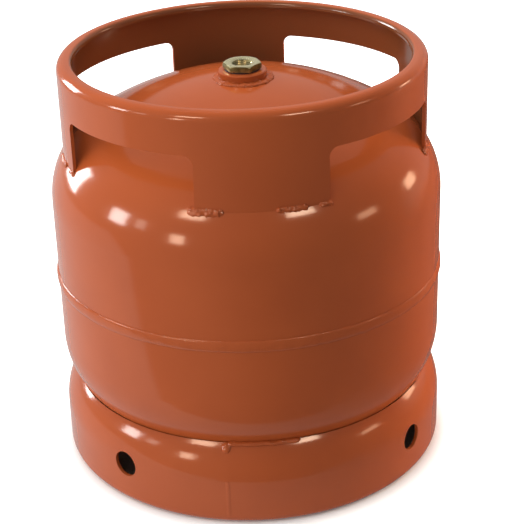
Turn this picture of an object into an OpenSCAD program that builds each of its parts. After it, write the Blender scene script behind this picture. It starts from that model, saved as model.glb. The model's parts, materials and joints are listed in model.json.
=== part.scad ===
// Small welded steel gas cylinder: two deep-drawn shells, a guard collar with four hand
// holes, a foot ring and a brass centre valve. Millimetres, +Z up, origin on the axis at
// the level the foot ring stands on. Directions round the axis are in degrees, counted
// anticlockwise from above, and 0 faces -Y.

/* [Vessel] */
// Outside diameter of the two shells
vessel_d = 292; // [244:1:350]
// Thickness of the shell sheet
shell_t = 2.4; // [2:0.1:3]
// Outer crown radius of both dished ends
crown_r = 226; // [200:1:270]
// Outer knuckle radius between dished end and straight wall
knuckle_r = 62; // [52:1:74]
// Straight wall above the circular joint
straight_above = 60; // [40:1:120]
// Straight wall below the circular joint
straight_below = 50; // [40:1:120]
// Clear height under the lower dished end
floor_gap = 11; // [8:0.5:16]

/* [Circular joint] */
// Length of the lower shell's lip inside the upper shell
joggle_l = 14; // [8:0.5:25]
// Radial clearance between that lip and the upper shell
joggle_gap = 0.2; // [0.1:0.05:0.5]
// Opening between the shell edges that the weld fills
root_gap = 3; // [2:0.5:4]
// Width of the weld bead on the outside
girth_w = 9; // [6:0.5:12]
// Height of the weld bead above the wall
girth_h = 1.8; // [1:0.1:2.5]

/* [Collar] */
// Distance from the vessel's side in to the collar's outer face
collar_inset = 11.2; // [7:0.1:18]
// Thickness of the collar sheet
collar_t = 2.5; // [2:0.1:3]
// Height of the rim above the vessel's crown
rim_rise = 20.4; // [15:0.2:60]
// Depth of the band from the rim's top to the hand holes
band_h = 30.4; // [24:0.2:36]
// Inner bend radius of the rolled rim
rim_bend = 4; // [2:0.5:6]
// Radial width of the rolled rim
rim_w = 11.8; // [11:0.2:18]
// Inner bend radius of the rim's turned-down lip
lip_bend = 0.7; // [0.5:0.1:1.5]
// Drop of the lip below the rim's top
lip_drop = 4.6; // [4.6:0.1:8]
// Number of legs
legs = 4; // [3:1:6]
// Sweep of each leg, degrees
leg_sweep = 39.6; // [30:0.2:48]
// Corner radius at the top of each hand hole
window_r = 7; // [4:0.5:10]
// Direction of the collar's butt seam
collar_seam_angle = 181.2; // [165:0.2:195]
// Radius of the weld beads at the legs' feet
leg_bead_r = 2.6; // [2:0.1:4]
// Sweep of the bead at each corner of a leg, degrees
corner_bead = 4.5; // [3:0.5:7]
// Sweep of the bead between the corners, degrees
middle_bead = 8.5; // [5:0.5:10]
// Direction in which the middle bead starts, from the middle of the leg
middle_bead_angle = 3.5; // [-5:0.5:5]

/* [Foot ring] */
// Distance the ring stands out from the vessel's side
foot_overhang = 1.4; // [0.5:0.1:5]
// Thickness of the ring sheet
foot_t = 2.5; // [2:0.1:3]
// Height at which the ring's shoulder meets the lower shell
foot_h = 63; // [53:0.5:75]
// Outer radius of the shoulder, which the sheet is drawn in by
shoulder_r = 40; // [24:1:50]
// Inner bend radius at the ring's bottom edge
hem_bend = 3.5; // [2:0.5:6]
// Flat width of the turned-in bottom edge
hem_w = 4; // [2:0.5:8]
// Clearance between the shoulder and the lower shell
foot_gap = 0.5; // [0.3:0.1:0.8]
// Diameter of the drain holes
drain_d = 20; // [12:0.5:24]
// Height of the drain holes
drain_z = 32; // [24:0.5:36]
// Directions of the drain holes
drain_angles = [-45.6, 48.4, 135, 225];
// Direction of the ring's butt seam
foot_seam_angle = -12.8; // [-18:0.2:-8]
// Number of welds between ring and shell
foot_welds = 3; // [3:1:6]
// Direction of the first of them
foot_weld_angle = -2; // [-4:0.5:4]
// Sweep of each of them, degrees
foot_weld_sweep = 22; // [10:1:30]
// Radius of the bead at the ring's shoulder
foot_bead_r = 3.2; // [2.5:0.1:4]

/* [Butt seams] */
// Width of the slit that a seam weld fills
seam_w = 1.4; // [1:0.1:2]
// Width of a seam's bead on the outer face
seam_bead_w = 3.4; // [2.5:0.1:5]
// Height of a seam's bead above the outer face
seam_bead_h = 0.3; // [0.2:0.1:0.8]

/* [Valve boss] */
// Diameter of the boss
boss_d = 36; // [34:0.5:44]
// Height of its top face above the crown
boss_rise = 5.7; // [5:0.1:10]
// Length of the boss
boss_l = 21; // [18:0.5:30]
// Diameter of the part that passes through the shell
spigot_d = 32; // [28:0.5:33]
// Radial clearance of that part in the shell
spigot_gap = 0.2; // [0.1:0.05:0.4]
// Width of the weld bead round the boss
boss_bead_w = 4.8; // [3:0.1:6]
// Height of that bead on the boss's side
boss_bead_h = 1.5; // [1:0.1:2.5]

/* [Valve] */
// Hexagon across flats
hex_af = 25; // [24:0.5:28]
// Height of the hexagon
hex_h = 4.5; // [4:0.1:8]
// Turn of the hexagon about the axis
hex_turn = -13; // [-30:1:30]
// Diameter of the thread in the boss
screw_d = 22; // [20:0.5:23]
// Radial clearance of that thread
screw_gap = 0.05; // [0.03:0.01:0.1]
// Length of the valve body
body_l = 40; // [38:0.5:50]
// Diameter of the body below the boss
tail_d = 19; // [18:0.5:20]
// Wall diameter of the outlet's inner thread
outlet_d = 14.4; // [14:0.1:14.6]
// Depth of the outlet from its mouth to its seal
outlet_l = 14; // [12:0.5:15]
// Chamfer at the outlet's mouth
outlet_chamfer = 1.1; // [0.5:0.1:1.4]
// Thickness of the washer under the hexagon
gasket_t = 1; // [0.8:0.1:1.5]
// Diameter of that washer
gasket_d = 26; // [25:0.5:28]
// Thickness of the seal at the bottom of the outlet
seal_t = 2; // [1.5:0.1:2.5]
// Diameter of that seal and of the undercut that holds it
seal_d = 15.2; // [14.8:0.1:15.6]
// Length of the undercut above the seal
undercut_l = 0.5; // [0.3:0.1:1]
// Diameter of the passage below the seal
passage_d = 7.6; // [7:0.1:8]
// Length of the passage below the seal
passage_l = 5; // [4:0.5:6]
// Width and drop of the ring that the poppet closes on
seat_lip = 0.8; // [0.6:0.1:1]

/* [Poppet] */
// Diameter of the pin that the burner presses
pin_d = 3.8; // [3.4:0.1:4.2]
// Depth of the pin's tip below the outlet's seal
pin_depth = 0.6; // [0.4:0.1:1.5]
// Diameter of the poppet's head and of its seal
head_d = 11; // [10.8:0.1:12]
// Thickness of the head
head_t = 2.2; // [2:0.1:3]
// Thickness of the seal on the head
head_seal_t = 2; // [1.5:0.1:2.5]
// Diameter of the guided stem
stem_d = 3; // [2.6:0.1:3.2]
// Radial clearance of the stem in the retainer
stem_gap = 0.06; // [0.04:0.01:0.1]
// Diameter of the spring chamber
chamber_d = 15; // [14.4:0.1:15.4]
// Space between the head and the retainer, at rest
spring_l = 10.5; // [9:0.5:12]
// Mean diameter of the spring's coil
coil_d = 8.4; // [8:0.1:8.8]
// Diameter of the spring wire
wire_d = 0.9; // [0.7:0.1:1]
// Number of turns
coil_turns = 5; // [4:1:6]
// Thickness of the retainer
retainer_t = 2; // [1.5:0.1:2.5]
// Diameter of the gas holes in the retainer
gas_hole_d = 2.2; // [1.6:0.1:2.4]
// Number of gas holes
gas_holes = 4; // [3:1:6]
// Length of the stem below the retainer
stem_end = 0.8; // [0.5:0.1:2]

/* [Hidden] */
$fn = 240;
fine = 1440;
far = 400;
vessel_r = vessel_d / 2;
// From a dished end's tangent line to its crown centre, and to its crown
crown_back = sqrt(pow(crown_r - knuckle_r, 2) - pow(vessel_r - knuckle_r, 2));
end_h = crown_r - crown_back;
lower_z = floor_gap + end_h;
joint_z = lower_z + straight_below;
upper_z = joint_z + straight_above;
crown_z = upper_z + end_h;
joggle = shell_t + joggle_gap;

collar_r = vessel_r - collar_inset;
rim_z = crown_z + rim_rise;
rim_r = rim_bend + collar_t;
lip_r = lip_bend + collar_t;
window_z = rim_z - band_h;
window_half = (360 / legs - leg_sweep) / 2;

foot_r = vessel_r + foot_overhang;
hem_r = hem_bend + foot_t;
foot_top_r = reach_at(lower_z - foot_h) + foot_gap;
shoulder_z = foot_h - sqrt(pow(shoulder_r, 2) - pow(foot_top_r - foot_r + shoulder_r, 2));

boss_r = boss_d / 2;
boss_z = crown_z + boss_rise;
spigot_r = spigot_d / 2;
seat_of_boss_z = upper_z + rise_at(spigot_r);

valve_z = boss_z + gasket_t + hex_h;
body_z = valve_z - body_l;
seal_z = valve_z - outlet_l;
seat_z = seal_z - seal_t - passage_l;
head_z = seat_z - seat_lip - head_seal_t;
retainer_z = head_z - head_t - spring_l;
chamber_r = chamber_d / 2;

// Height of a dished end above its tangent line, at a distance from the axis
function rise_at(r) =
    let (side = vessel_r - knuckle_r, change = crown_r * side / (crown_r - knuckle_r))
    r > change ? sqrt(pow(knuckle_r, 2) - pow(r - side, 2)) : sqrt(pow(crown_r, 2) - r * r) - crown_back;

// Distance of a dished end from the axis, at a height above its tangent line
function reach_at(rise) =
    let (change = knuckle_r * crown_back / (crown_r - knuckle_r))
    rise < change
        ? vessel_r - knuckle_r + sqrt(pow(knuckle_r, 2) - rise * rise)
        : sqrt(pow(crown_r, 2) - pow(rise + crown_back, 2));

// Turns +X to face a direction round the axis
module facing(angle) {
    rotate([0, 0, angle - 90])
        children();
}

// Filled half outline of a dished end over its straight wall, grown on all sides.
// The tangent line is y = 0 and the crown is up.
module dished_end(straight, grow = 0) {
    lean = asin((vessel_r - knuckle_r) / (crown_r - knuckle_r));
    intersection() {
        translate([0, -crown_back])
            circle(crown_r + grow, $fn = fine);
        polygon([
            [0, 0],
            [0, crown_r],
            [far * sin(lean), far * cos(lean) - crown_back],
            [vessel_r - knuckle_r, 0]
        ]);
    }
    intersection() {
        translate([vessel_r - knuckle_r, 0])
            circle(knuckle_r + grow, $fn = fine);
        square([far, far]);
    }
    translate([0, -straight])
        square([vessel_r + grow, straight]);
}

module upper_end(grow = 0, straight = straight_above) {
    translate([0, upper_z])
        dished_end(straight, grow);
}

module lower_end(grow = 0, straight = straight_below) {
    translate([0, lower_z])
        mirror([0, 1])
            dished_end(straight, grow);
}

// Cuts the corner at the origin of a shape that lies in the first quadrant to a round one
module round_corner(r) {
    difference() {
        translate([-1, -1])
            square(r + 1);
        translate([r, r])
            circle(r);
    }
}

module upper_shell() {
    color("#c8673b")
        rotate_extrude()
            difference() {
                upper_end(0, straight_above - root_gap / 2);
                upper_end(-shell_t, straight_above);
                square([spigot_r + spigot_gap, far]);
            }
}

// The lower shell's top edge steps in by a sheet's thickness, to lie inside the upper one
module lower_shell() {
    step_below = straight_below - root_gap / 2;
    step_in = shell_t * tan(22.5);
    color("#c8673b")
        rotate_extrude()
            difference() {
                union() {
                    lower_end(0, step_below);
                    joggled_lip(vessel_r, step_below);
                }
                lower_end(-shell_t, step_below - step_in);
                joggled_lip(vessel_r - shell_t, step_below - step_in);
            }
}

// Filled half outline of the lip, which steps in at 45 degrees from a wall
module joggled_lip(wall_r, step_at) {
    step_z = lower_z + step_at;
    top_z = joint_z + joggle_l;
    polygon([
        [0, step_z - shell_t],
        [wall_r, step_z - shell_t],
        [wall_r, step_z],
        [wall_r - joggle, step_z + joggle],
        [wall_r - joggle, top_z],
        [0, top_z]
    ]);
}

module girth_weld() {
    cap_r = (pow(girth_w / 2, 2) + pow(girth_h, 2)) / (2 * girth_h);
    root = root_gap / 2;
    cover = girth_h / 2;
    color("#c8673b")
        rotate_extrude() {
            difference() {
                translate([vessel_r + girth_h - cap_r, joint_z])
                    circle(cap_r);
                translate([0, joint_z - cap_r])
                    square([vessel_r, 2 * cap_r]);
            }
            intersection() {
                translate([vessel_r - joggle, joint_z - root - cover])
                    square([joggle + cover, root_gap + cover]);
                translate([vessel_r, joint_z - root])
                    rotate(-45)
                        translate([-far, 0])
                            square([2 * far, far]);
            }
        }
}

module valve_boss() {
    bore_r = screw_d / 2 + screw_gap;
    edge = 0.8;
    color("#c8673b")
        rotate_extrude()
            polygon([
                [bore_r, boss_z - boss_l],
                [spigot_r, boss_z - boss_l],
                [spigot_r, seat_of_boss_z],
                [boss_r, seat_of_boss_z],
                [boss_r, boss_z - edge],
                [boss_r - edge, boss_z],
                [bore_r + edge, boss_z],
                [bore_r, boss_z - edge]
            ]);
}

module boss_weld() {
    cap_r = (pow(boss_bead_w, 2) + pow(boss_bead_h, 2)) / (2 * boss_bead_h);
    color("#c8673b")
        rotate_extrude()
            difference() {
                translate([boss_r, upper_z + rise_at(boss_r) + boss_bead_h - cap_r])
                    circle(cap_r, $fn = fine);
                upper_end();
                square([boss_r, far]);
            }
}

// Filled outline under the rolled rim, drawn in from the outer faces by some of the sheet
module rim_outline(inset) {
    high = rim_z - inset;
    side = collar_r - inset;
    lip = collar_r - rim_w + inset;
    difference() {
        translate([lip, upper_z])
            square([side - lip, high - upper_z]);
        translate([side, high])
            rotate(180)
                round_corner(rim_r - inset);
        translate([lip, high])
            mirror([0, 1])
                round_corner(lip_r - inset);
    }
}

module collar_section() {
    difference() {
        rim_outline(0);
        rim_outline(collar_t);
        square([collar_r - collar_t - 0.1, rim_z - lip_drop]);
        upper_end();
    }
}

// Wedge from the axis outwards between two directions
module wedge(from, to, low, high) {
    reach = far / cos((to - from) / 4);
    translate([0, 0, low])
        linear_extrude(high - low)
            polygon(concat(
                [[0, 0]],
                [for (a = [from, (from + to) / 2, to]) reach * [sin(a), -cos(a)]]
            ));
}

// Hand hole from the dished end up, with its upper corners rounded
module hand_hole(middle) {
    bite = 0.1;
    corner = asin((window_r - bite) / collar_r);
    side = window_half - corner;
    wedge(middle - window_half, middle + window_half, upper_z, window_z - window_r);
    wedge(middle - side, middle + side, upper_z, window_z);
    for (a = [middle - side, middle + side])
        facing(a)
            translate([0, 0, window_z - window_r])
                rotate([0, 90, 0])
                    cylinder(r = window_r, h = far);
}

// Slit across a rolled sheet ring, where its two ends meet: it faces +X
module seam_slit() {
    translate([0, -seam_w / 2, -far])
        cube([far, seam_w, 2 * far]);
}

// Weld that fills the slit of a ring with this section, and stands out on its wall
module seam_weld(wall_r, low, high) {
    cap_r = (pow(seam_bead_w / 2, 2) + pow(seam_bead_h, 2)) / (2 * seam_bead_h);
    root = 1;
    rotate([90, 0, 0])
        linear_extrude(seam_w, center = true)
            children();
    difference() {
        translate([wall_r + seam_bead_h - cap_r, 0, low])
            cylinder(r = cap_r, h = high - low);
        difference() {
            translate([0, 0, low - 1])
                cylinder(r = wall_r, h = high - low + 2);
            seam_slit();
        }
        translate([0, 0, low - 1])
            cylinder(r = wall_r - root, h = high - low + 2);
    }
}

module collar() {
    color("#c8673b")
        difference() {
            rotate_extrude()
                collar_section();
            for (i = [0:legs - 1])
                hand_hole((i + 0.5) * 360 / legs);
            facing(collar_seam_angle)
                seam_slit();
        }
}

module collar_seam_weld() {
    color("#c8673b")
        facing(collar_seam_angle)
            seam_weld(collar_r, upper_z + rise_at(collar_r) + leg_bead_r, rim_z - rim_r)
                collar_section();
}

// Three short beads on the outside of each leg's foot: two corners and one between
module collar_welds() {
    edge = leg_sweep / 2;
    beads = [[-edge, corner_bead], [middle_bead_angle, middle_bead], [edge - corner_bead, corner_bead]];
    color("#c8673b")
        for (i = [0:legs - 1], bead = beads)
            facing(i * 360 / legs + bead[0])
                rotate_extrude(angle = bead[1])
                    difference() {
                        translate([collar_r, upper_z + rise_at(collar_r)])
                            circle(leg_bead_r);
                        upper_end();
                        square([collar_r, far]);
                    }
}

// Filled outline of the ring's sheet, drawn in from the outer faces by some of the sheet
module foot_outline(inset) {
    side = foot_r - inset;
    difference() {
        translate([0, inset])
            square([side, shoulder_z - inset]);
        translate([side, inset])
            mirror([1, 0])
                round_corner(hem_r - inset);
    }
    translate([foot_r - shoulder_r, shoulder_z])
        intersection() {
            circle(shoulder_r - inset, $fn = fine);
            translate([0, -1])
                square(shoulder_r + 1);
        }
}

module foot_section() {
    difference() {
        foot_outline(0);
        foot_outline(foot_t);
        square([foot_r - hem_r - hem_w, shoulder_z]);
        lower_end(foot_gap);
    }
}

module foot_ring() {
    color("#c8673b")
        difference() {
            rotate_extrude()
                foot_section();
            for (a = drain_angles)
                facing(a)
                    translate([0, 0, drain_z])
                        rotate([0, 90, 0])
                            cylinder(d = drain_d, h = far);
            facing(foot_seam_angle)
                seam_slit();
        }
}

module foot_ring_seam_weld() {
    color("#c8673b")
        facing(foot_seam_angle)
            seam_weld(foot_r, hem_r, shoulder_z)
                foot_section();
}

module foot_ring_welds() {
    color("#c8673b")
        for (i = [0:foot_welds - 1])
            facing(foot_weld_angle + i * 360 / foot_welds - foot_weld_sweep / 2)
                rotate_extrude(angle = foot_weld_sweep)
                    difference() {
                        translate([foot_top_r, foot_h])
                            circle(foot_bead_r);
                        lower_end();
                        foot_section();
                        translate([0, -foot_t])
                            square([far, foot_h]);
                    }
}

module valve_body() {
    corner_d = hex_af / cos(30);
    chamfer = 1;
    outlet_r = outlet_d / 2;
    passage_r = passage_d / 2;
    screw_z = boss_z - boss_l;
    color("#a58f4f")
        difference() {
            union() {
                intersection() {
                    rotate([0, 0, hex_turn])
                        translate([0, 0, valve_z - hex_h])
                            cylinder(d = corner_d, h = hex_h, $fn = 6);
                    translate([0, 0, valve_z - hex_h])
                        cylinder(r1 = corner_d / 2 + 2 * (hex_h - chamfer), r2 = corner_d / 2 - 2 * chamfer, h = hex_h);
                }
                translate([0, 0, screw_z])
                    cylinder(d = screw_d, h = valve_z - hex_h - screw_z);
                translate([0, 0, body_z])
                    cylinder(d = tail_d, h = screw_z - body_z);
            }
            translate([0, 0, seal_z - seal_t])
                cylinder(d = seal_d, h = seal_t + undercut_l);
            translate([0, 0, seal_z])
                cylinder(r = outlet_r, h = far);
            translate([0, 0, valve_z - outlet_chamfer])
                cylinder(r1 = outlet_r, r2 = outlet_r + 2 * outlet_chamfer, h = 2 * outlet_chamfer);
            translate([0, 0, body_z])
                cylinder(r = passage_r, h = valve_z - body_z);
            translate([0, 0, body_z - 1])
                cylinder(r = chamber_r, h = seat_z - seat_lip - body_z + 1);
            translate([0, 0, seat_z - seat_lip])
                difference() {
                    cylinder(r = chamber_r, h = seat_lip);
                    cylinder(r = passage_r + seat_lip, h = seat_lip);
                }
        }
}

// Flat ring lying on a level
module washer(low, height, outer_d, inner_d) {
    translate([0, 0, low])
        linear_extrude(height)
            difference() {
                circle(d = outer_d);
                circle(d = inner_d);
            }
}

module valve_gasket() {
    color("#2c2226")
        washer(boss_z, gasket_t, gasket_d, screw_d + 0.4);
}

module outlet_seal() {
    color("#262422")
        washer(seal_z - seal_t, seal_t, seal_d, passage_d);
}

module valve_poppet() {
    stem_z = retainer_z - retainer_t - stem_end;
    color("#b5a36a") {
        translate([0, 0, head_z])
            cylinder(d = pin_d, h = seal_z - pin_depth - head_z);
        translate([0, 0, head_z - head_t])
            cylinder(d = head_d, h = head_t);
        translate([0, 0, stem_z])
            cylinder(d = stem_d, h = head_z - head_t - stem_z);
    }
}

module poppet_seal() {
    color("#262422")
        washer(head_z, head_seal_t, head_d, pin_d);
}

// Round wire wound from one seat to the other: a ring of points for each step along the coil
module valve_spring() {
    steps = 14 * coil_turns;
    sides = 8;
    rise = spring_l - wire_d;
    rings = [for (i = [0:steps], k = [0:sides - 1])
        let (
            turn = 360 * coil_turns * i / steps,
            round_wire = 360 * k / sides,
            r = coil_d / 2 + wire_d / 2 * cos(round_wire)
        )
        [r * cos(turn), r * sin(turn), wire_d / 2 * (1 + sin(round_wire)) + rise * i / steps]];
    sleeve = [for (i = [0:steps - 1], k = [0:sides - 1])
        let (a = i * sides + k, b = i * sides + (k + 1) % sides)
        [a, a + sides, b + sides, b]];
    ends = [
        [for (k = [0:sides - 1]) k],
        [for (k = [sides - 1:-1:0]) steps * sides + k]
    ];
    color("#9a9a98")
        translate([0, 0, retainer_z])
            polyhedron(rings, concat(sleeve, ends));
}

module spring_retainer() {
    color("#a58f4f")
        translate([0, 0, retainer_z - retainer_t])
            linear_extrude(retainer_t)
                difference() {
                    circle(r = chamber_r);
                    circle(d = stem_d + 2 * stem_gap);
                    for (i = [0:gas_holes - 1])
                        rotate([0, 0, i * 360 / gas_holes])
                            translate([(coil_d / 2 + wire_d / 2 + chamber_r) / 2, 0])
                                circle(d = gas_hole_d);
                }
}

upper_shell();
lower_shell();
girth_weld();
valve_boss();
boss_weld();
collar();
collar_seam_weld();
collar_welds();
foot_ring();
foot_ring_seam_weld();
foot_ring_welds();
valve_body();
valve_gasket();
outlet_seal();
valve_poppet();
poppet_seal();
valve_spring();
spring_retainer();
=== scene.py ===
import bpy
import json
import math
from mathutils import Matrix, Vector


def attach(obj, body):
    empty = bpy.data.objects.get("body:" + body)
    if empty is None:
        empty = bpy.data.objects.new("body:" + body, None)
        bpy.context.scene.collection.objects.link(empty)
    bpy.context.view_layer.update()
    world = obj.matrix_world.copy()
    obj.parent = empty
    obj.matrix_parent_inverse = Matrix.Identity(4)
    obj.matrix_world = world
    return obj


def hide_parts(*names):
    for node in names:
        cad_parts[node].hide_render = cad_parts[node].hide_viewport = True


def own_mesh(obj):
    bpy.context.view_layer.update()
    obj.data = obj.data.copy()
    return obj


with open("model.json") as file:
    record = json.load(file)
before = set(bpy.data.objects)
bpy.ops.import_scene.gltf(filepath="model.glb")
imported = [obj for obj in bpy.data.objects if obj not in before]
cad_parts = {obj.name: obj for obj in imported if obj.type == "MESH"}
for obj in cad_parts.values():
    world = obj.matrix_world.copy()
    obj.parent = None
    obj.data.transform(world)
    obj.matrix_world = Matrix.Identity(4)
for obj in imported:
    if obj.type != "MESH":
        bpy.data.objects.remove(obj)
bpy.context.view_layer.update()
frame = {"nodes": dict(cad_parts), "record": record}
nodes = frame["nodes"]
print("frame loaded,", len(nodes), "nodes")

mm = 0.001
plainWhite = (1, 1, 1, 1)
mergeWithin = 0.01      # mm between doubled vertices


def toLinear(hexColour):
    # sRGB hex to the linear numbers that a shader socket takes
    parts = [int(hexColour[i:i + 2], 16) / 255 for i in (1, 3, 5)]
    return [c / 12.92 if c <= 0.04045 else ((c + 0.055) / 1.055) ** 2.4 for c in parts] + [1.0]


def addNode(tree, kind, settings=None, inputs=None):
    # one node with its settings; an input is a value, or the socket it is linked from
    node = tree.nodes.new(kind)
    for name, value in (settings or {}).items():
        setattr(node, name, value)
    for name, value in (inputs or {}).items():
        if isinstance(value, bpy.types.NodeSocket):
            tree.links.new(value, node.inputs[name])
        else:
            node.inputs[name].default_value = value
    return node


def newMaterial(name):
    material = bpy.data.materials.new(name)
    material.use_nodes = True
    tree = material.node_tree
    tree.nodes.clear()
    output = tree.nodes.new("ShaderNodeOutputMaterial")
    return material, tree, output


# Stove enamel: a wet-sprayed orange alkyd baked on the welded steel. It is a full gloss with the
# fine dimples of sprayed paint, long shallow waves from the drawn sheet below, and a colour that
# hardly varies with the coat's thickness. The faces turned towards the axis, as inside collar and
# ring, are painted darker: painted shade.
enamel = {
    "colour": "#B9592C",
    "thinColour": "#A94E26",
    # painted shade: the colour of faces turned towards the axis
    "paintedShadeColour": "#7D4729",
    "patchSize": 60,        # mm, from one thick patch of paint to the next
    "peelSize": 2.2,        # mm between dimples, real ones are about 1.5
    "peelDepth": 0.0045,    # mm
    "waveSize": 70,         # mm between waves in the sheet
    "waveDepth": 0.05,      # mm
    "paintedShadeFrom": -0.2,     # where the painted shade starts: 0 is sideways, -1 straight inward
    "paintedShadeTo": -0.8,
    "roughness": 0.13,
    "ior": 1.52,
}


def makeEnamel():
    material, tree, output = newMaterial("orange_stove_enamel")
    place = addNode(tree, "ShaderNodeTexCoord").outputs["Object"]
    patches = addNode(tree, "ShaderNodeTexNoise", None, {
        "Vector": place, "Scale": 1 / (enamel["patchSize"] * mm), "Detail": 3.0})
    tint = addNode(tree, "ShaderNodeMix", {"data_type": "RGBA"}, {
        0: patches.outputs["Fac"],
        6: toLinear(enamel["colour"]), 7: toLinear(enamel["thinColour"])})
    # painted shade: faces turned towards the axis take the darker colour, whatever the light
    aside = addNode(tree, "ShaderNodeVectorMath", {"operation": "MULTIPLY"}, {
        0: place, 1: (1, 1, 0)})
    outward = addNode(tree, "ShaderNodeVectorMath", {"operation": "NORMALIZE"}, {
        0: aside.outputs["Vector"]})
    facing = addNode(tree, "ShaderNodeVectorMath", {"operation": "DOT_PRODUCT"}, {
        0: outward.outputs["Vector"],
        1: addNode(tree, "ShaderNodeTexCoord").outputs["Normal"]})
    paintedShade = addNode(tree, "ShaderNodeMapRange", {"interpolation_type": "SMOOTHSTEP"}, {
        "Value": facing.outputs["Value"],
        "From Min": enamel["paintedShadeFrom"], "From Max": enamel["paintedShadeTo"]})
    toneAndPaintedShade = addNode(tree, "ShaderNodeMix", {"data_type": "RGBA"}, {
        0: paintedShade.outputs["Result"], 6: tint.outputs[2], 7: toLinear(enamel["paintedShadeColour"])})
    waves = addNode(tree, "ShaderNodeTexNoise", None, {
        "Vector": place, "Scale": 1 / (enamel["waveSize"] * mm), "Detail": 1.0})
    waveBump = addNode(tree, "ShaderNodeBump", None, {
        "Height": waves.outputs["Fac"], "Distance": enamel["waveDepth"] * mm, "Strength": 1.0})
    peel = addNode(tree, "ShaderNodeTexNoise", None, {
        "Vector": place, "Scale": 1 / (enamel["peelSize"] * mm), "Detail": 1.5})
    peelBump = addNode(tree, "ShaderNodeBump", None, {
        "Height": peel.outputs["Fac"], "Distance": enamel["peelDepth"] * mm, "Strength": 1.0,
        "Normal": waveBump.outputs["Normal"]})
    paint = addNode(tree, "ShaderNodeBsdfPrincipled", None, {
        "Base Color": toneAndPaintedShade.outputs[2], "Roughness": enamel["roughness"], "IOR": enamel["ior"],
        "Normal": peelBump.outputs["Normal"]})
    tree.links.new(paint.outputs["BSDF"], output.inputs["Surface"])
    return material


# Free-cutting brass, turned and milled from bar and dulled by its oxide skin: a pale olive with
# fine tool marks, darker in patches. Its upward faces are painted paler: a painted highlight.
brass = {
    "colour": "#A89E66",
    "dullColour": "#6E6638",
    # painted highlight: the pale colour of the upward faces
    "paintedHighlightColour": "#F4EABE",
    "metallic": 0.8,        # the skin hides some of the metal's shine
    "patchSize": 5,         # mm
    "toolPitch": 0.35,      # mm between tool marks, real ones are about 0.15
    "toolDepth": 0.004,     # mm
    "paintedHighlight": 0.85,         # how far the top is painted towards the pale highlight colour
    "smoothest": 0.22,      # roughness, from patch to patch
    "roughest": 0.42,
}
waveLength = 0.314      # m between the rings of a wave texture of scale 1


def makeBrass():
    material, tree, output = newMaterial("turned_brass")
    place = addNode(tree, "ShaderNodeTexCoord").outputs["Object"]
    patches = addNode(tree, "ShaderNodeTexNoise", None, {
        "Vector": place, "Scale": 1 / (brass["patchSize"] * mm), "Detail": 4.0})
    spread = addNode(tree, "ShaderNodeMapRange", None, {
        "Value": patches.outputs["Fac"], "From Min": 0.4, "From Max": 0.65})
    tint = addNode(tree, "ShaderNodeMix", {"data_type": "RGBA"}, {
        0: spread.outputs["Result"],
        6: toLinear(brass["colour"]), 7: toLinear(brass["dullColour"])})
    # painted highlight: faces turned up are painted towards the pale colour, whatever the light
    upward = addNode(tree, "ShaderNodeVectorMath", {"operation": "DOT_PRODUCT"}, {
        0: addNode(tree, "ShaderNodeTexCoord").outputs["Normal"], 1: (0, 0, 1)})
    paintedHighlight = addNode(tree, "ShaderNodeMapRange", None, {
        "Value": upward.outputs["Value"], "From Min": 0.3, "From Max": 0.9,
        "To Max": brass["paintedHighlight"]})
    skin = addNode(tree, "ShaderNodeMix", {"data_type": "RGBA"}, {
        0: paintedHighlight.outputs["Result"], 6: tint.outputs[2], 7: toLinear(brass["paintedHighlightColour"])})
    rough = addNode(tree, "ShaderNodeMapRange", None, {
        "Value": patches.outputs["Fac"], "From Min": 0.3, "From Max": 0.7,
        "To Min": brass["smoothest"], "To Max": brass["roughest"]})
    marks = addNode(tree, "ShaderNodeTexWave", {
        "wave_type": "RINGS", "rings_direction": "Z"}, {
        "Vector": place, "Scale": waveLength / (brass["toolPitch"] * mm), "Distortion": 0.3})
    bump = addNode(tree, "ShaderNodeBump", None, {
        "Height": marks.outputs["Fac"], "Distance": brass["toolDepth"] * mm, "Strength": 1.0})
    metal = addNode(tree, "ShaderNodeBsdfPrincipled", None, {
        "Base Color": skin.outputs[2], "Metallic": brass["metallic"],
        "Roughness": rough.outputs["Result"], "Normal": bump.outputs["Normal"]})
    tree.links.new(metal.outputs["BSDF"], output.inputs["Surface"])
    return material


# Nitrile rubber, moulded and cut: a dull brown-black with a dusty bloom and a fine tooth.
rubber = {
    "colour": "#2A1517",
    "bloomColour": "#45282B",
    "toothSize": 0.5,       # mm
    "toothDepth": 0.02,     # mm
    "roughness": 0.55,
    "ior": 1.52,
}


def makeRubber():
    material, tree, output = newMaterial("black_nitrile")
    place = addNode(tree, "ShaderNodeTexCoord").outputs["Object"]
    tooth = addNode(tree, "ShaderNodeTexNoise", None, {
        "Vector": place, "Scale": 1 / (rubber["toothSize"] * mm), "Detail": 4.0})
    tint = addNode(tree, "ShaderNodeMix", {"data_type": "RGBA"}, {
        0: tooth.outputs["Fac"],
        6: toLinear(rubber["colour"]), 7: toLinear(rubber["bloomColour"])})
    bump = addNode(tree, "ShaderNodeBump", None, {
        "Height": tooth.outputs["Fac"], "Distance": rubber["toothDepth"] * mm, "Strength": 1.0})
    skin = addNode(tree, "ShaderNodeBsdfPrincipled", None, {
        "Base Color": tint.outputs[2], "Roughness": rubber["roughness"], "IOR": rubber["ior"],
        "Normal": bump.outputs["Normal"]})
    tree.links.new(skin.outputs["BSDF"], output.inputs["Surface"])
    return material


# Stainless spring wire, cold drawn: grey, with a satin shine that is broken by faint draw marks.
wire = {
    "colour": "#B4B2AC",
    "lineSize": 0.3,        # mm
    "lineDepth": 0.003,     # mm
    "smoothest": 0.25,
    "roughest": 0.42,
}


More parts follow.
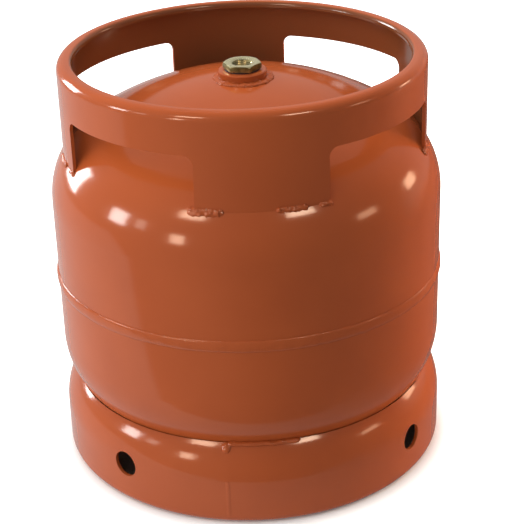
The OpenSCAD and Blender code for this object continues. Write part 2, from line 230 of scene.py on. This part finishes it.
def makeSpringSteel():
    material, tree, output = newMaterial("drawn_spring_steel")
    place = addNode(tree, "ShaderNodeTexCoord").outputs["Object"]
    lines = addNode(tree, "ShaderNodeTexNoise", None, {
        "Vector": place, "Scale": 1 / (wire["lineSize"] * mm), "Detail": 2.0})
    rough = addNode(tree, "ShaderNodeMapRange", None, {
        "Value": lines.outputs["Fac"], "To Min": wire["smoothest"], "To Max": wire["roughest"]})
    bump = addNode(tree, "ShaderNodeBump", None, {
        "Height": lines.outputs["Fac"], "Distance": wire["lineDepth"] * mm, "Strength": 1.0})
    metal = addNode(tree, "ShaderNodeBsdfPrincipled", None, {
        "Base Color": toLinear(wire["colour"]), "Metallic": 1.0,
        "Roughness": rough.outputs["Result"], "Normal": bump.outputs["Normal"]})
    tree.links.new(metal.outputs["BSDF"], output.inputs["Surface"])
    return material


enamelPaint = makeEnamel()
turnedBrass = makeBrass()
blackNitrile = makeRubber()
springSteel = makeSpringSteel()
finishes = {
    "orange_enamel": enamelPaint, "valve_brass": turnedBrass,
    "seal_rubber": blackNitrile, "spring_steel": springSteel,
}


def wear(piece, material):
    piece.data.materials.clear()
    piece.data.materials.append(material)


for part in frame["record"]["subparts"]:
    wear(nodes[part["node"]], finishes[part["material_slot"]])
print("finishes on the CAD nodes")


def startPiece(name):
    # the primitive just added becomes the piece, open in edit mode and selected all over
    piece = bpy.context.object
    piece.name = name
    bpy.ops.object.mode_set(mode="EDIT")
    bpy.ops.mesh.select_all(action="SELECT")
    return piece


def pickVertices(piece, wanted):
    # selects the vertices for which wanted(co) is true, in edit mode
    bpy.ops.mesh.select_all(action="DESELECT")
    bpy.ops.object.mode_set(mode="OBJECT")
    for v in piece.data.vertices:
        v.select = wanted(v.co)
    bpy.ops.object.mode_set(mode="EDIT")


def applyModifiers(piece):
    for modifier in list(piece.modifiers):
        bpy.ops.object.modifier_apply(modifier=modifier.name)


def takeUp(piece):
    # the piece alone is selected and active
    bpy.ops.object.select_all(action="DESELECT")
    piece.select_set(True)
    bpy.context.view_layer.objects.active = piece


def turnPiece(piece, angle):
    # turns a finished piece about the cylinder's axis and leaves its object unturned
    takeUp(piece)
    piece.rotation_euler = (0, 0, math.radians(angle))
    bpy.ops.object.transform_apply(location=True, rotation=True, scale=True)


def copyPiece(piece, name):
    double = piece.copy()
    double.data = piece.data.copy()
    double.name = name
    bpy.context.scene.collection.objects.link(double)
    return double


def directionOf(co):
    # degrees round the axis, anticlockwise from +X
    return math.degrees(math.atan2(co.y, co.x))


# Weld beads. Each is a run of metal along a circle, in mm and degrees: the circle's radius and
# level, half the bead's thickness out from the wall and half its width along it, and the wall's
# lean. A run starts at one direction, anticlockwise from -Y, and sweeps so far. Its ripples swell
# it evenly, its lumps and pits by a cloudy pattern, and it may lie a little aside.
beads = {
    "girthBead": {
        "node": "girth_weld", "radius": 145.9, "level": 146.15, "out": 1.35, "along": 4.5,
        "lean": 0, "start": 0, "sweep": 360, "ripple": 0.1, "lump": 0.6, "lumpSize": 9},
    "bossBead": {
        "node": "boss_weld", "radius": 18.4, "level": 290.4, "out": 3.8, "along": 1.7,
        "lean": 5, "start": 0, "sweep": 360, "ripple": 0.14, "lump": 2.4, "lumpSize": 3.6,
        "aside": 0.8},
    "footBead": {
        "node": "foot_ring_welds", "radius": 137.0, "level": 62.3, "out": 2.6, "along": 1.6,
        "lean": 0, "start": -13, "sweep": 22, "ripple": 0.14, "lump": 1.4, "lumpSize": 4},
    "footSeamDrop": {
        "node": "foot_ring_welds", "radius": 139.3, "level": 60.0, "out": 1.3, "along": 4.2,
        "lean": -37, "start": -14.6, "sweep": 2.6, "ripple": 0.1, "lump": 1.0, "lumpSize": 2},
    "cornerBeadLeft": {
        "node": "collar_welds", "radius": 134.9, "level": 241.6, "out": 1.4, "along": 2.9,
        "lean": -17, "start": -22, "sweep": 10.5, "ripple": 0.12, "lump": 2.6, "lumpSize": 2.4,
        "pit": 1.8},
    "middleBead": {
        "node": "collar_welds", "radius": 134.9, "level": 241.9, "out": 1.2, "along": 2.0,
        "lean": -17, "start": 3.5, "sweep": 9.5, "ripple": 0.14, "lump": 2.2, "lumpSize": 2.6,
        "pit": 1.2},
    "cornerBeadRight": {
        "node": "collar_welds", "radius": 134.9, "level": 241.8, "out": 1.1, "along": 1.8,
        "lean": -17, "start": 16.3, "sweep": 4.5, "ripple": 0.15, "lump": 2.2, "lumpSize": 2.4,
        "pit": 1.0},
}
weldPool = {
    "sides": 24,            # points round a bead's section
    "ripplePitch": 2.1,     # mm from one ripple to the next
    "ringsPerRipple": 3,
    "pitSize": 1.1,         # mm across the pits of a rough bead
    "taper": (0.25, 0.65, 0.88),    # sizes of the last sections at a run's two ends
}
# degrees from the modelled beads to their copies: the other legs', and round the foot ring
copyTurns = {"collar_welds": (90, 180, 270), "foot_ring_welds": (120, 240)}


def roughen(piece, height, size):
    # swells and pits the piece's faces by a cloudy pattern
    clouds = bpy.data.textures.new(piece.name, "CLOUDS")
    clouds.noise_scale = size * mm
    lumps = piece.modifiers.new("lumps", "DISPLACE")
    lumps.texture = clouds
    lumps.strength = height * mm
    lumps.mid_level = 0.5
    applyModifiers(piece)


def layBead(name, bead):
    bpy.ops.object.select_all(action="DESELECT")
    bpy.ops.mesh.primitive_circle_add(
        vertices=weldPool["sides"], radius=mm, rotation=(math.pi / 2, 0, 0))
    piece = startPiece(name)
    bpy.ops.object.mode_set(mode="OBJECT")
    bpy.ops.object.transform_apply(location=True, rotation=True, scale=True)
    bpy.ops.object.mode_set(mode="EDIT")
    bpy.ops.mesh.select_all(action="SELECT")
    bpy.ops.transform.resize(value=(bead["out"], 1, bead["along"]), center_override=(0, 0, 0))
    bpy.ops.transform.rotate(
        value=math.radians(-bead["lean"]), orient_axis="Y", center_override=(0, 0, 0))
    bpy.ops.transform.translate(value=(bead["radius"] * mm, 0, bead["level"] * mm))
    length = math.radians(bead["sweep"]) * bead["radius"]
    ripples = max(2, round(length / weldPool["ripplePitch"]))
    steps = weldPool["ringsPerRipple"] * ripples
    wholeRing = bead["sweep"] == 360
    # spin turns clockwise about +Z for a positive angle
    bpy.ops.mesh.spin(
        steps=steps, angle=-math.radians(bead["sweep"]), center=(0, 0, 0), axis=(0, 0, 1))
    bpy.ops.mesh.select_all(action="SELECT")
    bpy.ops.mesh.remove_doubles(threshold=mergeWithin * mm)
    if not wholeRing:
        bpy.ops.mesh.select_all(action="DESELECT")
        bpy.ops.mesh.select_non_manifold(extend=False)
        bpy.ops.mesh.fill_holes(sides=0)
        bpy.ops.mesh.select_all(action="SELECT")
    bpy.ops.mesh.normals_make_consistent(inside=False)
    stepAngle = bead["sweep"] / steps

    def ringOf(co):
        # the number of the section that a vertex belongs to, from the run's start
        if wholeRing:
            return round((directionOf(co) % 360) / stepAngle) % steps
        return round(directionOf(co) / stepAngle)

    # one section in each ripple swells a little, as the weld pool leaves it
    pickVertices(piece, lambda co: ringOf(co) % weldPool["ringsPerRipple"] == 1)
    bpy.ops.transform.shrink_fatten(value=bead["ripple"] * mm)
    if not wholeRing:
        # a run tapers off at both ends
        for ring, size in enumerate(weldPool["taper"]):
            for end in (ring, steps - ring):
                pickVertices(piece, lambda co: ringOf(co) == end)
                turn = math.radians(end * stepAngle)
                bpy.ops.transform.resize(value=(size, size, size), center_override=(
                    bead["radius"] * math.cos(turn) * mm, bead["radius"] * math.sin(turn) * mm,
                    bead["level"] * mm))
    bpy.ops.object.mode_set(mode="OBJECT")
    roughen(piece, bead["lump"], bead["lumpSize"])
    if "pit" in bead:
        roughen(piece, bead["pit"], weldPool["pitSize"])
    bpy.ops.object.shade_smooth()
    turnPiece(piece, bead["start"] - 90)
    if "aside" in bead:
        # laid off centre, as a hand-held torch does
        piece.location = (bead["aside"] * mm, 0, 0)
        bpy.ops.object.transform_apply(location=True, rotation=True, scale=True)
    return piece


def belongTo(piece, material, body):
    wear(piece, material)
    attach(piece, body)


for beadName, bead in beads.items():
    firstBead = layBead(beadName, bead)
    laid = [firstBead]
    for turn in copyTurns.get(bead["node"], ()):
        laid.append(copyPiece(firstBead, beadName + str(turn)))
        turnPiece(laid[-1], turn)
    for piece in laid:
        belongTo(piece, enamelPaint, "cylinder")
        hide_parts(bead["node"])
print("weld beads laid")

# The brass valve body. Its outline is turned in one piece, right of the axis, in mm: distance
# from the axis and height against its top face. The outlet's thread is drawn as grooves, whose
# root lies between two shares of the pitch. Flats are then milled on the head.
valve = {
    "top": 302.49,
    "head": [(9.1, 0), (11.9, 0), (12.7, -0.1), (13.4, -0.4), (14.0, -0.95), (14.45, -1.8),
             (14.45, -4.1), (14.1, -4.5)],
    "screw": [(11, -4.5), (11, -26.5), (9.5, -26.5), (9.5, -40), (7.5, -40)],
    "inside": [(7.5, -21), (4.6, -21), (4.6, -21.8), (3.8, -21.8), (3.8, -16), (7.6, -16),
               (7.6, -13.5), (7.2, -13.5)],
    "crest": 7.2, "root": 7.95, "pitch": 1.5, "turns": 8, "firstCrest": -13,
    "rootFrom": 0.55, "rootTo": 0.7,
    "flats": 6, "acrossFlats": 25, "flatsTurn": 17, "sides": 144,
    "edge": 0.18,           # mm, the burr taken off
    "edgeAngle": 28,        # degrees, sharper turns get the eased edge
    "smoothAngle": 32,
}


def drawOutline(points, level):
    # a closed line of edges through the points, grown from a single vertex by extruding
    bpy.ops.object.select_all(action="DESELECT")
    bpy.ops.mesh.primitive_plane_add(size=mm)
    piece = startPiece("outline")
    bpy.ops.mesh.merge(type="CENTER")
    here = Vector((0, 0, 0))
    for count, (out, down) in enumerate(points):
        there = Vector((out * mm, 0, (level + down) * mm))
        if count == 0:
            bpy.ops.transform.translate(value=there)
        else:
            bpy.ops.mesh.extrude_region_move(TRANSFORM_OT_translate={"value": there - here})
        here = there
    bpy.ops.mesh.select_all(action="SELECT")
    bpy.ops.mesh.remove_doubles(threshold=mergeWithin * mm)
    return piece


def turnValveBody():
    thread = []
    for turn in range(valve["turns"]):
        low = valve["firstCrest"] + turn * valve["pitch"]
        thread += [(valve["crest"], low),
                   (valve["root"], low + valve["rootFrom"] * valve["pitch"]),
                   (valve["root"], low + valve["rootTo"] * valve["pitch"])]
    thread.append((valve["crest"], valve["firstCrest"] + valve["turns"] * valve["pitch"]))
    points = valve["head"] + valve["screw"] + valve["inside"] + thread + valve["head"][:1]
    piece = drawOutline(points, valve["top"])
    piece.name = "valveBody"
    bpy.ops.mesh.spin(
        steps=valve["sides"], angle=2 * math.pi, center=(0, 0, 0), axis=(0, 0, 1))
    bpy.ops.mesh.select_all(action="SELECT")
    bpy.ops.mesh.remove_doubles(threshold=mergeWithin * mm)
    bpy.ops.mesh.normals_make_consistent(inside=False)
    for flat in range(valve["flats"]):
        angle = math.radians(valve["flatsTurn"] + 360 / valve["flats"] * flat)
        outward = Vector((math.cos(angle), math.sin(angle), 0))
        bpy.ops.mesh.select_all(action="SELECT")
        bpy.ops.mesh.bisect(
            plane_co=outward * (valve["acrossFlats"] / 2 * mm), plane_no=outward,
            use_fill=True, clear_outer=True)
    bpy.ops.mesh.select_all(action="SELECT")
    bpy.ops.mesh.normals_make_consistent(inside=False)
    bpy.ops.object.mode_set(mode="OBJECT")
    # the burr is off every edge of the flats
    edge = piece.modifiers.new("edge", "BEVEL")
    edge.width = valve["edge"] * mm
    edge.segments = 2
    edge.limit_method = "ANGLE"
    edge.angle_limit = math.radians(valve["edgeAngle"])
    applyModifiers(piece)
    bpy.ops.object.shade_smooth_by_angle(angle=math.radians(valve["smoothAngle"]))
    belongTo(piece, turnedBrass, "cylinder")
    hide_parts("valve_body")


turnValveBody()
print("valve body turned and milled")

# The spring under the poppet's head. Its foot stays on the retainer and its top goes down with
# the poppet; a smoothed copy stands for the CAD node
spring = {
    "node": "valve_spring",
    "joint": "poppet_travel",
    "travel": 3,            # mm
    "smoothAngle": 50,
    "mergeWithin": 0.001,   # mm, finer than elsewhere because the wire is thin
}


def windSpring():
    coil = copyPiece(nodes[spring["node"]], "springCoil")
    # the copy sheds the marks that make the CAD object a node
    for key in list(coil.keys()):
        del coil[key]
    takeUp(coil)
    bpy.ops.object.mode_set(mode="EDIT")
    bpy.ops.mesh.select_all(action="SELECT")
    bpy.ops.mesh.remove_doubles(threshold=spring["mergeWithin"] * mm)
    bpy.ops.object.mode_set(mode="OBJECT")
    bpy.ops.object.shade_smooth_by_angle(angle=math.radians(spring["smoothAngle"]))
    belongTo(coil, springSteel, "cylinder")
    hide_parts(spring["node"])
    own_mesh(coil)


windSpring()
print("spring wound")


# The camera looks down on the cylinder from a little left of the collar's front leg
camera = {
    "azimuth": -4.8, "elevation": 25.79, "distance": 1.1633, "lookAt": (0, 0, 0.14028),
    "lens": 103.12, "sensor": 36, "roll": -1.95, "shift": 0.0252,
}


def onSphere(azimuth, elevation, distance, centre=(0, 0, 0)):
    # azimuth 0 is towards -Y and 90 towards +X, as in the other views
    a, e = math.radians(azimuth), math.radians(elevation)
    out = Vector((math.sin(a) * math.cos(e), -math.cos(a) * math.cos(e), math.sin(e)))
    return Vector(centre) + out * distance


def setCamera():
    eye = bpy.data.objects.new("camera", bpy.data.cameras.new("camera"))
    bpy.context.scene.collection.objects.link(eye)
    target = Vector(camera["lookAt"])
    eye.location = onSphere(camera["azimuth"], camera["elevation"], camera["distance"], target)
    aim = (target - eye.location).to_track_quat("-Z", "Y").to_matrix()
    tilt = math.radians(camera["roll"])
    turn = ((math.cos(tilt), -math.sin(tilt), 0), (math.sin(tilt), math.cos(tilt), 0), (0, 0, 1))
    eye.rotation_euler = (aim @ Matrix(turn)).to_euler()
    eye.data.lens = camera["lens"]
    eye.data.sensor_width = camera["sensor"]
    eye.data.shift_x = camera["shift"]
    bpy.context.scene.camera = eye


setCamera()

# Each lamp is a soft rectangle that faces the cylinder: direction, size in metres, strength and
# colour. Most only show as highlights in gloss, and the room's own light does the shading. The
# right window does both. A white card low on the right and a skylight behind only shade, and
# stand at a distance of their own.
lampDistance = 1.8
lampTarget = (0, 0, 0.23)
lamps = {
    "windowLeft": {
        "azimuth": -128, "elevation": 12, "wide": 0.56, "high": 0.66, "glow": 16,
        "colour": "#FFFFFF"},
    "windowFrontLeft": {
        "azimuth": -81, "elevation": 12, "wide": 0.34, "high": 0.42, "glow": 15,
        "colour": "#FFFAF5"},
    "paneFrontLeft": {
        "azimuth": -66, "elevation": 13, "wide": 0.2, "high": 0.3, "glow": 4,
        "colour": "#FFF0E0"},
    "lampHighLeft": {
        "azimuth": -39, "elevation": 36, "wide": 0.42, "high": 0.28, "glow": 15,
        "colour": "#FFDDBE"},
    "lampLowLeft": {
        "azimuth": -43, "elevation": 6, "wide": 0.24, "high": 0.32, "glow": 12.5,
        "colour": "#FFDDBE"},
    "lampHighRight": {
        "azimuth": 29, "elevation": 36, "wide": 0.44, "high": 0.24, "glow": 18,
        "colour": "#FFDDBE"},
    "lampRight": {
        "azimuth": 65, "elevation": 11, "wide": 0.4, "high": 0.2, "glow": 6.5,
        "colour": "#FFCDA5"},
    "windowRight": {
        "azimuth": 104, "elevation": 9, "wide": 0.34, "high": 0.26, "glow": 9,
        "colour": "#FFCDA5", "shades": True},
    "cardRight": {
        "azimuth": 108, "elevation": -3, "wide": 0.5, "high": 0.3, "glow": 16.5,
        "colour": "#FFE6CC", "distance": 0.9, "shades": True, "shines": False},
    "skylightBack": {
        "azimuth": 180, "elevation": 62, "wide": 0.8, "high": 0.8, "glow": 6,
        "colour": "#FFFFFF", "distance": 1.7, "shades": True, "shines": False},
}


def hangLamp(name, lamp):
    data = bpy.data.lights.new(name, "AREA")
    data.shape = "RECTANGLE"
    data.size, data.size_y = lamp["wide"], lamp["high"]
    # a surface of that glow sends out pi times its area in watts
    data.energy = lamp["glow"] * math.pi * lamp["wide"] * lamp["high"]
    data.color = toLinear(lamp["colour"])[:3]
    bulb = bpy.data.objects.new(name, data)
    bpy.context.scene.collection.objects.link(bulb)
    bulb.location = onSphere(
        lamp["azimuth"], lamp["elevation"], lamp.get("distance", lampDistance), lampTarget)
    bulb.rotation_euler = (Vector(lampTarget) - bulb.location).to_track_quat("-Z", "Y").to_euler()
    bulb.visible_diffuse = lamp.get("shades", False)
    bulb.visible_glossy = lamp.get("shines", True)
    bulb.visible_camera = False


for lampName, lamp in lamps.items():
    hangLamp(lampName, lamp)

# The room round the cylinder, white to the camera. Its walls light the matt shade of the paint
# and are mirrored, darker, in all gloss, each by so much from every side.
room = {
    "white": 1.0,
    "shade": {"all": 0.02, "left": 2.02, "right": 0.1, "front": 0.0, "back": 0.9, "up": 0.62},
    "gloss": {"all": 0.14, "left": 0.06, "right": 0.0, "front": 0.0, "back": 0.26, "up": 0.0},
}
sideAxes = {
    "left": (-1, 0, 0), "right": (1, 0, 0), "front": (0, -1, 0), "back": (0, 1, 0), "up": (0, 0, 1),
}


def sideGlow(tree, direction, glow):
    # what the room sends from a direction: an even part, and a part that fades from each side
    total = glow["all"]
    for side, axis in sideAxes.items():
        towards = addNode(tree, "ShaderNodeVectorMath", {"operation": "DOT_PRODUCT"}, {
            0: direction, 1: axis})
        facing = addNode(tree, "ShaderNodeMath", {"operation": "MAXIMUM"}, {
            0: towards.outputs["Value"], 1: 0.0})
        total = addNode(tree, "ShaderNodeMath", {"operation": "MULTIPLY_ADD"}, {
            0: facing.outputs[0], 1: glow[side], 2: total}).outputs[0]
    return total


def setRoom():
    world = bpy.data.worlds.new("room")
    bpy.context.scene.world = world
    world.use_nodes = True
    tree = world.node_tree
    tree.nodes.clear()
    output = tree.nodes.new("ShaderNodeOutputWorld")
    direction = addNode(tree, "ShaderNodeTexCoord").outputs["Generated"]
    ray = addNode(tree, "ShaderNodeLightPath")
    mirror = addNode(tree, "ShaderNodeMath", {"operation": "MAXIMUM"}, {
        0: ray.outputs["Is Glossy Ray"], 1: ray.outputs["Is Transmission Ray"]})
    shade = addNode(tree, "ShaderNodeBackground", None, {
        "Color": plainWhite, "Strength": sideGlow(tree, direction, room["shade"])})
    gloss = addNode(tree, "ShaderNodeBackground", None, {
        "Color": plainWhite, "Strength": sideGlow(tree, direction, room["gloss"])})
    white = addNode(tree, "ShaderNodeBackground", None, {
        "Color": plainWhite, "Strength": room["white"]})
    reflected = addNode(tree, "ShaderNodeMixShader", None, {
        0: mirror.outputs[0], 1: shade.outputs[0], 2: gloss.outputs[0]})
    shown = addNode(tree, "ShaderNodeMixShader", None, {
        0: ray.outputs["Is Camera Ray"], 1: reflected.outputs[0], 2: white.outputs[0]})
    tree.links.new(shown.outputs[0], output.inputs["Surface"])


setRoom()

# White paper on the bench, in metres: its front edge lies 5 cm before the cylinder. To the camera
# it is lifted to white outside a ring round the cylinder, whatever the light, so the darker ring is
# partly its real shadow and partly painted shadow. The gloss of the paint mirrors it at a
# plain level, brighter on the window's side, and not at all from under the cylinder.
paper = {
    "left": -2.2, "right": 2.2, "front": -0.2, "back": 2.6, "colour": "#F2F0ED",
    "lift": 0.92, "darkWithin": 0.14, "liftFrom": 0.17,
    "mirrorLeft": 0.69, "mirrorRight": 0.1, "mirrorSpan": 0.3,
}


def layPaper():
    bpy.ops.mesh.primitive_plane_add(size=1)
    sheet = bpy.context.object
    sheet.name = "paper"
    for v in sheet.data.vertices:
        v.co.x = paper["left"] if v.co.x < 0 else paper["right"]
        v.co.y = paper["front"] if v.co.y < 0 else paper["back"]
        v.co.z = 0
    material, tree, output = newMaterial("white_paper")
    matt = addNode(tree, "ShaderNodeBsdfDiffuse", None, {"Color": toLinear(paper["colour"])})
    place = addNode(tree, "ShaderNodeTexCoord").outputs["Object"]
    away = addNode(tree, "ShaderNodeVectorMath", {"operation": "LENGTH"}, {0: place})
    # painted shadow: the lift fades in by distance from the axis, not by where the shadow falls
    fade = addNode(tree, "ShaderNodeMapRange", {"interpolation_type": "SMOOTHSTEP"}, {
        "Value": away.outputs["Value"], "From Min": paper["darkWithin"],
        "From Max": paper["liftFrom"], "To Min": 0.0, "To Max": paper["lift"]})
    lift = addNode(tree, "ShaderNodeEmission", None, {
        "Color": plainWhite, "Strength": fade.outputs["Result"]})
    bright = addNode(tree, "ShaderNodeAddShader", None, {0: matt.outputs[0], 1: lift.outputs[0]})
    across = addNode(tree, "ShaderNodeSeparateXYZ", None, {"Vector": place}).outputs["X"]
    level = addNode(tree, "ShaderNodeMapRange", {"interpolation_type": "SMOOTHSTEP"}, {
        "Value": across, "From Min": -paper["mirrorSpan"], "From Max": paper["mirrorSpan"],
        "To Min": paper["mirrorLeft"], "To Max": paper["mirrorRight"]})
    outside = addNode(tree, "ShaderNodeMath", {"operation": "GREATER_THAN"}, {
        0: away.outputs["Value"], 1: paper["darkWithin"]})
    mirrored = addNode(tree, "ShaderNodeMath", {"operation": "MULTIPLY"}, {
        0: level.outputs["Result"], 1: outside.outputs[0]})
    mirror = addNode(tree, "ShaderNodeEmission", None, {
        "Color": plainWhite, "Strength": mirrored.outputs[0]})
    ray = addNode(tree, "ShaderNodeLightPath")
    unseen = addNode(tree, "ShaderNodeMixShader", None, {
        0: ray.outputs["Is Glossy Ray"], 1: matt.outputs[0], 2: mirror.outputs[0]})
    shown = addNode(tree, "ShaderNodeMixShader", None, {
        0: ray.outputs["Is Camera Ray"], 1: unseen.outputs[0], 2: bright.outputs[0]})
    tree.links.new(shown.outputs[0], output.inputs["Surface"])
    wear(sheet, material)


layPaper()
bpy.context.scene.view_settings.view_transform = "Standard"
print("camera, floor and lights in place")
